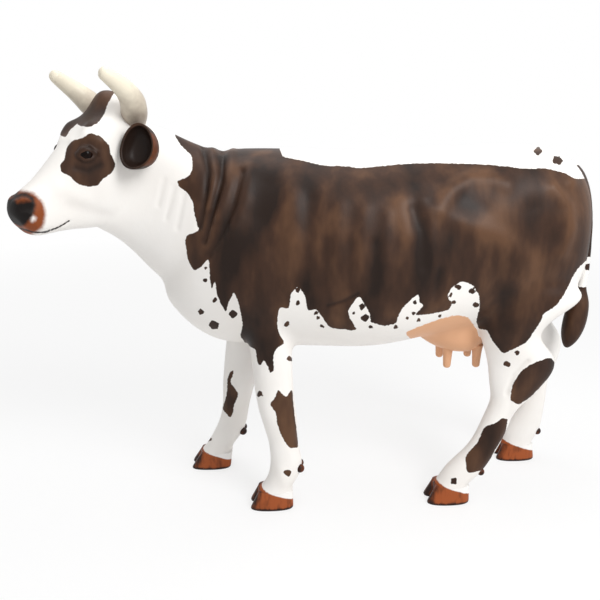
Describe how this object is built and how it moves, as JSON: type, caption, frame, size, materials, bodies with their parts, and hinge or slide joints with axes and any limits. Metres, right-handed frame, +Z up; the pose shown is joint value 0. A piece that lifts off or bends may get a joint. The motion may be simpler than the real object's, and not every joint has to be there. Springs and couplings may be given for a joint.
{
  "type": "cow figurine",
  "caption": "Life-size standing cow figure with horns, head turned to its left: brown and white painted glass-fibre shell on a steel frame, bolted down through its hooves.",
  "frame": {"origin": "on the ground, under the middle of the figure's box", "axes": "+X from nose to tail, +Y to the animal's right, +Z up"},
  "size_m": [2.1432, 0.7017, 1.6436],
  "materials": {
    "painted_skin": "hand-painted brown and white under satin varnish on glass-fibre",
    "brown_paint": "brown paint under satin varnish",
    "pink_paint": "flesh-coloured paint under satin varnish",
    "horn_paint": "ivory paint under satin varnish",
    "hoof_paint": "red-brown paint under satin varnish",
    "eye_gloss": "gloss black-brown",
    "frame_steel": "red oxide primer on welded steel",
    "zinc_steel": "zinc plated",
    "plywood": "sawn plywood sealed with resin",
    "raw_laminate": "bare glass-fibre mat in polyester resin"
  },
  "bodies": {
    "root": {"cross_tube_front": "frame_steel", "cross_tube_hind": "frame_steel", "dewclaws_front_left": "hoof_paint", "dewclaws_front_right": "hoof_paint", "dewclaws_hind_left": "hoof_paint", "dewclaws_hind_right": "hoof_paint", "ear_left": "painted_skin", "ear_right": "painted_skin", "ear_screws": "zinc_steel", "eye_left": "eye_gloss", "eye_right": "eye_gloss", "fixing_socket_front_left": "zinc_steel", "fixing_socket_front_right": "zinc_steel", "fixing_socket_hind_left": "zinc_steel", "fixing_socket_hind_right": "zinc_steel", "former_front": "plywood", "former_hind": "plywood", "head_shell_left": "painted_skin", "head_shell_right": "painted_skin", "hoof_front_left": "hoof_paint", "hoof_front_right": "hoof_paint", "hoof_hind_left": "hoof_paint", "hoof_hind_right": "hoof_paint", "horn_left": "horn_paint", "horn_right": "horn_paint", "horn_studs": "zinc_steel", "leg_front_left": "painted_skin", "leg_front_right": "painted_skin", "leg_hind_left": "painted_skin", "leg_hind_right": "painted_skin", "leg_tube_front_left": "frame_steel", "leg_tube_front_right": "frame_steel", "leg_tube_hind_left": "frame_steel", "leg_tube_hind_right": "frame_steel", "neck_shell": "painted_skin", "neck_tube": "frame_steel", "poll_block": "plywood", "seam_strip": "raw_laminate", "sole_plate_front_left": "frame_steel", "sole_plate_front_right": "frame_steel", "sole_plate_hind_left": "frame_steel", "sole_plate_hind_right": "frame_steel", "spine_tube": "frame_steel", "tail_dock": "painted_skin", "tail_rod": "zinc_steel", "tail_switch": "brown_paint", "teats": "pink_paint", "trunk_shell_left": "painted_skin", "trunk_shell_right": "painted_skin", "udder_shell": "pink_paint"}
  },
  "joints": []
}
